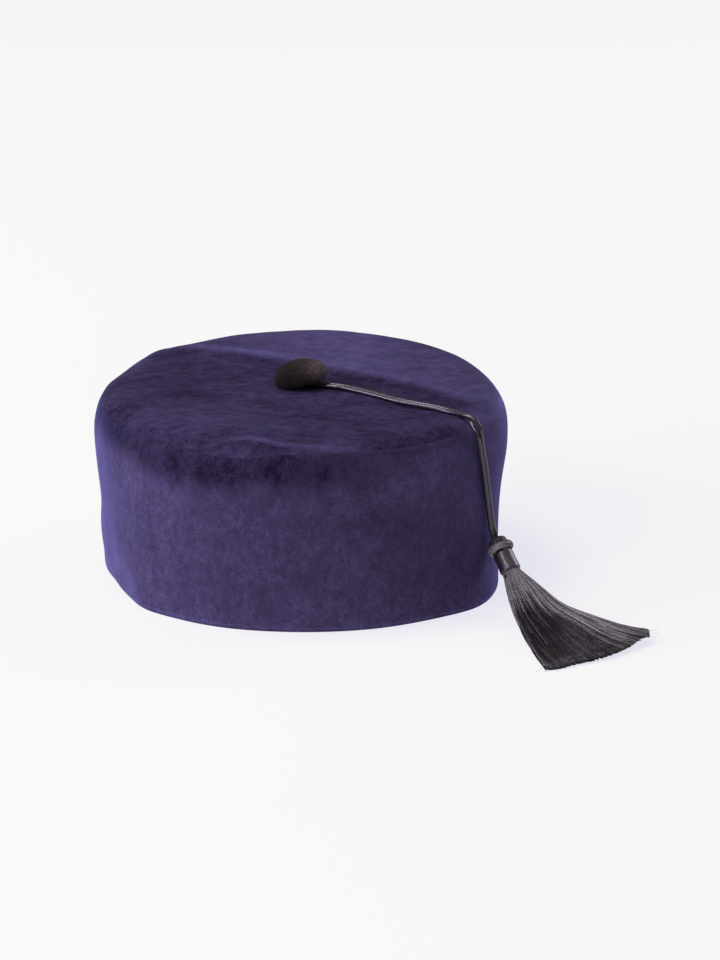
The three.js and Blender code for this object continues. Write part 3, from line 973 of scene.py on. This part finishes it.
THREAD_CROWDING = 1.2
THREAD_WAVER = Values(size=0.00048, waves=(4, 13))
THREAD_DRIFT = 0.0014
THREAD_CUT = 0.004
LEAST_ROUNDING = 0.03
CLUMPS = 90
CLUMP_SPREAD = 0.5
CLUMP_DEPTH = Values(size=0.04, wave=2.4)
THREAD_LAYERS = [
    # piece, threads, seed, lowest and highest depth, share laid at the two edges
    ("skirt_threads_top", 2200, 21, (0.78, 1.0), 0.0),
    ("skirt_threads_under", 1300, 22, (-1.0, 0.78), 0.45),
]
# Painted highlights on the threads near the binding and along the right wing, and painted shade in the
# middle and below
SILK_LIGHT = 0.86
UPPER_FADES = (0.50, 0.16)
UPPER_UNEVEN = 0.08
UPPER_SHORTER = (0, [], [(0.27, 0.12, 0.07)])
WING_LIGHT = 0.87
WING_EDGE = (0.44, [(0.36, 0.70, 0.24)])
WING_SOFT = (-0.14, 0.12)
WING_END = (1, [(0.94, 1.0, -0.4)])
MIDDLE_SHADE_ACROSS = (0, [], [(0.52, 0.15, 0.25)])
MIDDLE_SHADE_ALONG = (0, [(0.50, 0.70, 1), (0.86, 0.98, -0.5)])
OWN_SHADE = Values(spread=0.21, clump=0.04, wave=5.1, most=1.35, upper=0.75)
STRAYS = [
    # place across the skirt, share of its length where the thread leaves it, and its free end from there
    (0.99, 0.90, (0.0125, -0.0020, 0.0006)),
    (0.97, 0.93, (0.0110, -0.0030, 0.0004)),
    (0.95, 0.95, (0.0090, -0.0034, -0.0010)),
    (0.98, 0.86, (0.0100, -0.0010, 0.0008)),
    (0.00, 0.87, (-0.0046, -0.0140, -0.0014)),
    (0.02, 0.92, (-0.0036, -0.0095, -0.0012)),
    (0.03, 0.93, (0.0020, -0.0110, -0.0010)),
]
STRAY_RADIUS = 0.00007
STRAY_HELD = 0.25
STRAY_POINTS = 8
STRAY_BEND = 3


def tassel_frame():
    """Way that the tassel's head points, and across it the ways to the right and up."""
    way = np.array(TASSEL_WAY)
    right = np.cross(UP, way)
    right /= np.linalg.norm(right)
    return way, right, np.cross(way, right)


def to_tassel(points):
    """Moves a form that hangs from the origin to the place of the tassel's head."""
    turn = Vector((0, 0, 1)).rotation_difference(-TASSEL_WAY).to_matrix()
    return points.reshape(-1, 3) @ np.array(turn).T + np.array(TASSEL_TOP)


def head_points(section, waves, climb, size):
    """A section turned into the tassel's head, with small waves round it that climb along the section."""
    turn = turns(TASSEL_AROUND)
    along = np.linspace(0, 1, len(section))[:, None]
    relief = size * np.cos(waves * turn + climb * along)
    return to_tassel(ring_points(section[:, 0:1] + relief, turn, section[:, 1:2]))


def make_dome(material):
    section = smooth_section(DOME_ROWS, DOME_RINGS)
    points = head_points(section, DOME_THREADS.count, DOME_THREADS.twist, DOME_THREADS.size)
    piece = new_piece("tassel_dome", points, tube_faces(len(section), TASSEL_AROUND), material)
    write_values(piece, "shade", np.full(len(points), DOME_SHADE))
    return piece


def make_collar(material):
    """The ring above the binding, with painted light on its left side and painted shade on its right."""
    half_wide = (COLLAR.outer - COLLAR.inner) / 2
    angle = turns(COLLAR_RINGS)
    radius = COLLAR.inner + half_wide + half_wide * np.cos(angle)
    section = np.stack([radius, -COLLAR.below + COLLAR.height / 2 * np.sin(angle)], axis=1)
    points = head_points(section, COLLAR_RIDGES.count, COLLAR_RIDGES.twist, COLLAR_RIDGES.size)
    piece = new_piece("tassel_ring", points, grid_faces(len(section), TASSEL_AROUND, True), material)
    to_right = (points - points.mean(axis=0)) @ tassel_frame()[1] / COLLAR.outer
    write_values(piece, "shade", COLLAR_LIGHT_AND_SHADE.middle + COLLAR_LIGHT_AND_SHADE.right * to_right)
    return piece


def make_neck(material):
    section = smooth_section(NECK_ROWS, NECK_RINGS)
    windings = FULL_TURN * (NECK_ROWS[-1][0] - NECK_ROWS[0][0]) / NECK_PITCH
    points = head_points(section, 1, windings, NECK_RELIEF)
    return new_piece("tassel_binding", points, grid_faces(len(section), TASSEL_AROUND, True), material)


def skirt_curves(across, shares):
    """Middle lines, half widths and half heights, at places across the skirt and shares of its length."""
    across = np.asarray(across, float)
    hill = np.sin(np.pi * across)
    corner = bell(across, SKIRT_CORNER_WIDTH)
    last = len(SKIRT_ROWS) - 1
    middles = []
    halves = []
    for i, (left, right, hump, rest, raised, wide) in enumerate(SKIRT_ROWS):
        point = np.array(left) + across[:, None] * (np.array(right) - np.array(left))
        point = point + SKIRT_ROUNDING * (hill * (i / last) ** 2)[:, None]
        point = point + SKIRT_CORNER * (corner * (i / last) ** 4)[:, None]
        top = point[:, 2] + hump * hill
        bottom = rest + raised * across**2
        half = np.maximum(top - bottom, LEAST_LOCK_HEIGHT) / 2
        middles.append(np.stack([point[:, 0], point[:, 1], top - half], axis=1))
        halves.append(np.stack([np.full_like(half, wide), half], axis=1))
    middle = curve_through(np.stack(middles, axis=1), shares)
    wide, tall = np.moveaxis(curve_through(np.stack(halves, axis=1), shares), -1, 0)
    laid = tall * profile(shares, *SKIRT_THINNING)
    tip = ease(across, *SKIRT_TIP_THINNING.across)[:, None]
    tip = tip * ease(shares, *SKIRT_TIP_THINNING.along)
    half = laid * (1 - SKIRT_TIP_THINNING.share * tip)
    middle[..., 2] += (laid - half) - (tall - laid)
    return middle, wide, half


def across_frames(paths):
    """Directions to the side and above, at each point of many paths."""
    ways = np.gradient(paths, axis=1)
    ways /= np.linalg.norm(ways, axis=2)[..., None]
    aside = np.cross(ways, UP)
    aside /= np.linalg.norm(aside, axis=2)[..., None]
    return aside, np.cross(aside, ways)


def many_tubes(paths, radius, sides):
    """Vertices and faces of thin closed tubes along many paths of the same number of points."""
    count, rings, _ = paths.shape
    aside, above = across_frames(paths)
    turn = turns(sides)[:, None]
    offset = np.cos(turn) * aside[:, :, None] + np.sin(turn) * above[:, :, None]
    points = paths[:, :, None] + radius * offset
    starts = np.arange(count)[:, None, None] * rings * sides
    walls = (grid_faces(rings, sides, False) + starts).reshape(-1, 4)
    first = np.arange(sides)[::-1] + starts[:, 0]
    last = (rings - 1) * sides + np.arange(sides) + starts[:, 0]
    return points.reshape(-1, 3), [*walls, *first, *last]


def skirt_places(share):
    """Places across the skirt and out past its rounded edges, for shares of its whole width."""
    across = np.clip((share - SKIRT_EDGE) / (1 - 2 * SKIRT_EDGE), 0, 1)
    past_left = np.minimum(share / SKIRT_EDGE - 1, 0)
    past_right = np.maximum((share - 1) / SKIRT_EDGE + 1, 0)
    return across, past_left + past_right


def out_of_neck(paths, place, depth, shares):
    """Bends the upper ends of the skirt's lines together, into the round end of the binding."""
    way, right, over = tassel_frame()
    flat = 2 * place - 1
    raised = depth * np.sqrt(np.maximum(1 - flat**2, 0))
    spread = NECK_BORE * (flat[:, None] * right + raised[:, None] * over)
    start = np.array(TASSEL_TOP) + NECK_JOIN.below * way
    straight = start + spread[:, None] + (NECK_JOIN.reach * shares)[:, None] * way
    joined = ease(shares, 0, NECK_JOIN.share)[:, None]
    return straight + (paths - straight) * joined


def thread_places(count, chance, edge_share):
    """Clump of each thread and its place across the skirt, with a share of them laid at its two edges."""
    clump = chance.integers(0, CLUMPS, count)
    place = np.clip((clump + 0.5 + CLUMP_SPREAD * chance.standard_normal(count)) / CLUMPS, 0, 1)
    side = chance.uniform(-1, 1, count)
    edge = np.where(side < 0, -side * SKIRT_EDGE, 1 - side * SKIRT_EDGE)
    return clump, np.where(chance.uniform(0, 1, count) < edge_share, edge, place)


def cut_short(paths, shares, ends):
    """Ends each path at its own share of its length."""
    return np.stack([
        np.stack([np.interp(shares * end, shares, path[:, k]) for k in range(3)], axis=1)
        for path, end in zip(paths, ends)
    ])


def thread_paths(count, chance, depth_range, edge_share):
    """Threads of the skirt, with depths from 1, its top, to -1, its underside, and the shade of each."""
    clump, place = thread_places(count, chance, edge_share)
    across, past = skirt_places(place)
    shares = np.linspace(0, 1, THREAD_POINTS) ** THREAD_CROWDING
    middle, wide, half = skirt_curves(across, shares)
    aside, above = across_frames(middle)
    lowest, highest = depth_range
    level = lowest + (highest - lowest) * chance.uniform(0, 1, count) ** 2
    level = level + CLUMP_DEPTH.size * np.sin(CLUMP_DEPTH.wave * clump)
    rounded = np.sqrt(np.clip(1 - past**2, LEAST_ROUNDING, 1))
    phase = chance.uniform(0, FULL_TURN, count)
    waves = chance.uniform(*THREAD_WAVER.waves, count)
    waver = THREAD_WAVER.size * np.sin(shares * waves[:, None] + phase[:, None]) * shares
    drift = THREAD_DRIFT * chance.standard_normal(count)[:, None] * shares**2
    paths = middle + above * (half * (level * rounded)[:, None])[..., None]
    paths = paths + aside * (wide * past[:, None] + waver + drift)[..., None]
    paths = out_of_neck(paths, place, level, shares)
    ends = 1 - np.abs(THREAD_CUT * chance.standard_normal(count))
    return cut_short(paths, shares, ends), thread_shade(place, clump, shares, chance)


def thread_shade(place, clump, shares, chance):
    """Painted highlights near the binding and along the right wing, painted shade in the middle and below,
    and each thread's own random tone.
    """
    uneven = UPPER_UNEVEN * chance.standard_normal(len(place)) + profile(place, *UPPER_SHORTER)
    upper = ease(shares + uneven[:, None], *UPPER_FADES)
    own = OWN_SHADE.spread * chance.standard_normal(len(place))
    own = own + OWN_SHADE.clump * np.sin(OWN_SHADE.wave * clump)
    wing = ease(place[:, None] - profile(shares, *WING_EDGE), *WING_SOFT) * profile(shares, *WING_END)
    middle_shade = profile(place, *MIDDLE_SHADE_ACROSS)[:, None] * profile(shares, *MIDDLE_SHADE_ALONG)
    own = own[:, None] * (OWN_SHADE.most - OWN_SHADE.upper * upper)
    return SILK_LIGHT * np.maximum(upper, WING_LIGHT * wing) - middle_shade + own


def add_threads(name, paths, shade, radius, material):
    paths[..., 2] = np.maximum(paths[..., 2], radius + THREAD_FLOOR_GAP)
    points, faces = many_tubes(paths, radius, THREAD_SIDES)
    piece = new_piece(name, points, faces, material)
    write_values(piece, "shade", np.repeat(shade.ravel(), len(points) // shade.size))
    return piece


def make_threads(name, count, seed, depth_range, edge_share, material):
    paths, shade = thread_paths(count, np.random.default_rng(seed), depth_range, edge_share)
    return add_threads(name, paths, shade, THREAD_RADIUS, material)


def make_strays(material):
    """A few loose threads that leave the skirt near its cut ends."""
    run = np.linspace(0, 1, STRAY_POINTS + 1)[1:, None]
    paths = []
    for across, leaves, free in STRAYS:
        shares = np.linspace(leaves - STRAY_HELD, leaves, STRAY_POINTS)
        middle, _, half = skirt_curves(np.array([across]), shares)
        held = middle[0] + UP * half[0][:, None]
        onward = (held[-1] - held[-2]) * STRAY_BEND * run * (1 - run)
        paths.append(np.concatenate([held, held[-1] + onward + np.array(free) * run]))
    shade = np.ones(len(paths))
    return add_threads("stray_threads", np.array(paths), shade, STRAY_RADIUS, material)


def make_skirt_core(material):
    """The inside of the bundle, a little smaller than its threads, painted dark as the shade within it."""
    shares = np.linspace(0, CORE.along, CORE.rings)
    across = np.linspace(*CORE.across, CORE.sides)
    middle, _, half = skirt_curves(across, shares)
    _, above = across_frames(middle)
    depth = np.full_like(across, CORE.depth)
    rise = above * (CORE.depth * half)[..., None]
    top = out_of_neck(middle + rise, across, depth, shares)
    under = out_of_neck(middle - rise, across, -depth, shares)
    points = np.concatenate([top, under[::-1]], axis=0).transpose(1, 0, 2).reshape(-1, 3)
    points[:, 2] = np.maximum(points[:, 2], CORE_FLOOR_GAP)
    piece = new_piece("skirt_core", points, tube_faces(len(shares), 2 * len(across)), material)
    # Painted shade: the core is given a dark tone
    write_values(piece, "shade", np.full(len(points), CORE.shade))
    return piece


# Stage: floor, light and camera

FLOOR_SIDE = 24.0
# The glow is bluer than the paint, which gives the faint shadows a painted bluish tint; it is brighter far
# from the cap
FLOOR_GLOW = (0.720, 0.720, 0.833)
FLOOR_FAR_GLOW = (0.773, 0.773, 0.869)
FLOOR_PAINT = (0.180, 0.176, 0.080, 1)
FLOOR_FAR = (0.3, 1.1)
LIGHTS = [
    # name, place, size, watts, colour
    ("key", (-1.65, -0.45, 0.70), 1.0, 24, (0.92, 1.01, 1.15)),
    ("top", (-0.50, 0.05, 1.60), 0.6, 14, (1, 1, 1)),
    ("rim", (1.40, 0.80, 0.80), 0.8, 8, (0.95, 1.0, 1.08)),
    ("front", (-1.10, -1.36, 1.30), 0.4, 8, (1, 1, 1)),
]
WORLD_WAY = (-0.80, 0.10, 0.59)
WORLD_STOPS = [
    # place from the far side of that way to the near side, grey light
    (0.0, 0.16),
    (0.5, 0.27),
    (1.0, 0.45),
]


def make_camera():
    camera = add_object("camera", bpy.data.cameras.new("camera"))
    away = Vector((0, -math.cos(VIEW_DOWN), math.sin(VIEW_DOWN)))
    camera.location = VIEW_TARGET + VIEW_DISTANCE * away
    camera.rotation_euler = (math.pi / 2 - VIEW_DOWN, 0, 0)
    camera.data.lens = VIEW_LENS
    camera.data.clip_end = VIEW_END
    bpy.context.scene.camera = camera


def floor_finish():
    """Pale paint that glows a little, so that the shadows on it stay faint."""
    material = bpy.data.materials.new("floor")
    material.use_nodes = True
    material.node_tree.nodes.clear()
    place = add_node(material, "ShaderNodeNewGeometry").outputs["Position"]
    away = add_node(material, "ShaderNodeVectorMath", operation="LENGTH")
    share = add_node(material, "ShaderNodeMapRange")
    set_inputs(share, from_min=FLOOR_FAR[0], from_max=FLOOR_FAR[1])
    link(place, away.inputs[0])
    link(away.outputs["Value"], share.inputs["Value"])
    colour = ramp(material, share.outputs["Result"], [(0.0, FLOOR_GLOW), (1.0, FLOOR_FAR_GLOW)])
    glow = add_node(material, "ShaderNodeEmission")
    link(colour, glow.inputs["Color"])
    paint = add_node(material, "ShaderNodeBsdfDiffuse")
    set_inputs(paint, color=FLOOR_PAINT)
    both = add_node(material, "ShaderNodeAddShader")
    link(glow.outputs[0], both.inputs[0])
    link(paint.outputs[0], both.inputs[1])
    output = add_node(material, "ShaderNodeOutputMaterial")
    link(both.outputs[0], output.inputs["Surface"])
    return material


def make_floor():
    half = FLOOR_SIDE / 2
    mesh = bpy.data.meshes.new("floor")
    corners = [(-half, -half, 0), (half, -half, 0), (half, half, 0), (-half, half, 0)]
    mesh.from_pydata(corners, [], [(0, 1, 2, 3)])
    mesh.materials.append(floor_finish())
    add_object("floor", mesh)


def make_world():
    """Soft light all round, stronger from the left, above and behind."""
    world = bpy.data.worlds.new("world")
    world.use_nodes = True
    way = add_node(world, "ShaderNodeTexCoord").outputs["Generated"]
    facing = add_node(world, "ShaderNodeVectorMath", operation="DOT_PRODUCT")
    facing.inputs[1].default_value = WORLD_WAY
    place = add_node(world, "ShaderNodeMapRange")
    set_inputs(place, from_min=-1)
    link(way, facing.inputs[0])
    link(facing.outputs["Value"], place.inputs["Value"])
    stops = [(at, (grey, grey, grey)) for at, grey in WORLD_STOPS]
    colour = ramp(world, place.outputs["Result"], stops)
    link(colour, world.node_tree.nodes["Background"].inputs["Color"])
    bpy.context.scene.world = world


def make_lights():
    for name, place, size, watts, colour in LIGHTS:
        lamp = bpy.data.lights.new(name, "AREA")
        lamp.color = colour
        lamp.size = size
        lamp.energy = watts
        holder = add_object(name, lamp)
        holder.location = place
        holder.rotation_euler = (VIEW_TARGET - Vector(place)).to_track_quat("-Z", "Y").to_euler()


# The whole scene

def make_stage():
    bpy.context.scene.view_settings.view_transform = "Standard"
    make_camera()
    make_floor()
    make_world()
    make_lights()


def make_tassel():
    """The tassel's pieces, with its ring first."""
    silk = thread_silk()
    collar = make_collar(satin(
        "ring_satin", [(0.028, 0.020, 0.026), (0.196, 0.160, 0.192)], 0.3, "shade",
        roughness=0.38, specular_ior_level=0.7, ior=1.55,
    ))
    neck = make_neck(satin(
        "binding_satin", [(0.010, 0.006, 0.008), (0.030, 0.021, 0.026)], 0.1,
        roughness=0.36, specular_ior_level=0.9, ior=1.68,
    ))
    dome = make_dome(silk)
    core = make_skirt_core(silk)
    top_threads, under_threads = (make_threads(*layer, silk) for layer in THREAD_LAYERS)
    strays = make_strays(silk)
    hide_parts("tassel_collar")
    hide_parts("tassel_neck")
    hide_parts("tassel_skirt")
    return [collar, neck, dome, core, top_threads, under_threads, strays]


def make_cord(tassel):
    """Both strands, in place of those of the solids; in the cap the first holds the whole tassel and the
    second goes through its ring.
    """
    material = satin(
        "cord_satin", [(0.009, 0.0063, 0.010), (0.022, 0.0155, 0.024)], 0.03,
        roughness=0.24, specular_ior_level=0.7, ior=1.5,
    )
    for name, node, sign, carried in (
        ("cord_1", "cord_strand_1", 1, tassel),
        ("cord_2", "cord_strand_2", -1, tassel[:1]),
    ):
        strand, line, length = make_strand(name, sign, material)
        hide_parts(node)


def make_cap():
    button = make_button(button_cloth())
    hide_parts("button")
    reverse = velvet_reverse()
    band = make_band(velvet(
        "band_velvet", BAND_STRETCH, 0.34, 1.15,
        [(0.0088, 0.0044, 0.0178), (0.0525, 0.035, 0.092), (0.119, 0.100, 0.246)],
        sheen_weight=0.50, sheen_tint=(0.27, 0.275, 0.86, 1),
    ), reverse)
    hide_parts("side_band")
    crown = make_crown(velvet(
        "crown_velvet", CROWN_STRETCH, 0.21, 1.2,
        [(0.0130, 0.0068, 0.0232), (0.066, 0.0495, 0.128), (0.132, 0.117, 0.288)],
        sheen_weight=0.06, sheen_tint=(0.30, 0.20, 0.60, 1),
    ), reverse)
    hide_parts("crown")


make_stage()
make_cord(make_tassel())
make_cap()
